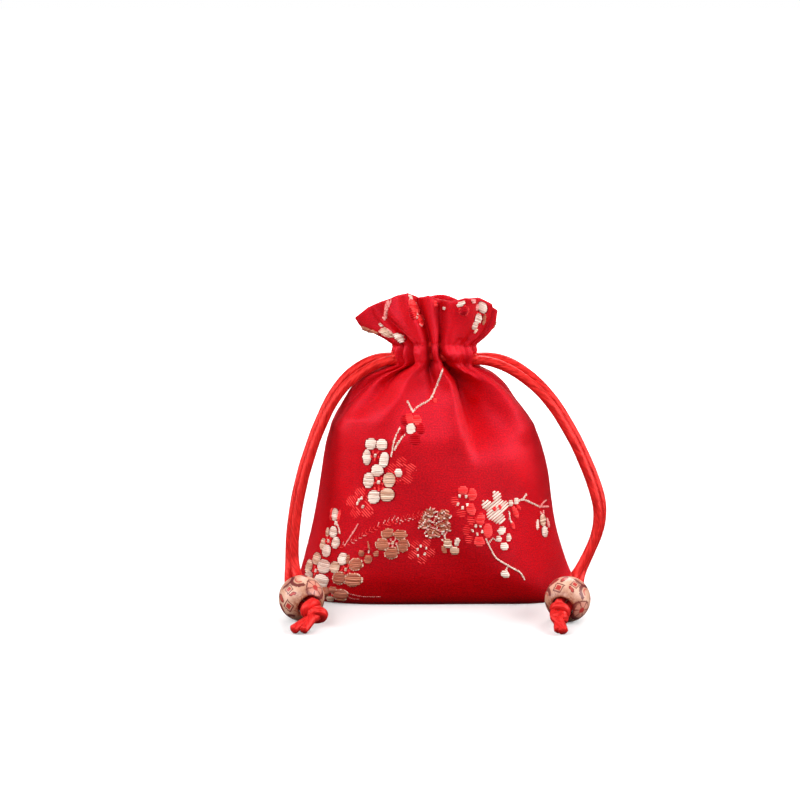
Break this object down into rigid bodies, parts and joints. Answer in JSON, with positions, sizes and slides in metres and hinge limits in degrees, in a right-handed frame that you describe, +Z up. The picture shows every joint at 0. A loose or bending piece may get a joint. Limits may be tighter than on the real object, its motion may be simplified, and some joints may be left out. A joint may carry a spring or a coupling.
{
  "type": "brocade drawstring pouch",
  "caption": "Standing cloth pouch with a gathered neck and a ruffled mouth, drawn shut by satin cords that run round a stitched casing and end in wooden beads and knots.",
  "frame": {"origin": "on the ground, under the middle of the cloth bag", "axes": "+Z up, -Y towards the pouch's front, +X to the right seen from the front"},
  "size_m": [0.0872, 0.0518, 0.0849],
  "materials": {
    "brocade": "crimson satin ground with ivory, tan and coral plum blossom floats",
    "satin_cord": "vermilion satin cord with a soft lengthwise sheen",
    "bead_wood": "pale lacquered wood with a dark printed scroll and lozenge pattern"
  },
  "bodies": {
    "root": {"pouch_shell": "brocade", "drawcord_left": "satin_cord", "drawcord_right": "satin_cord", "knot_left": "satin_cord", "knot_right": "satin_cord", "bead_left": "bead_wood", "bead_right": "bead_wood"}
  },
  "joints": []
}
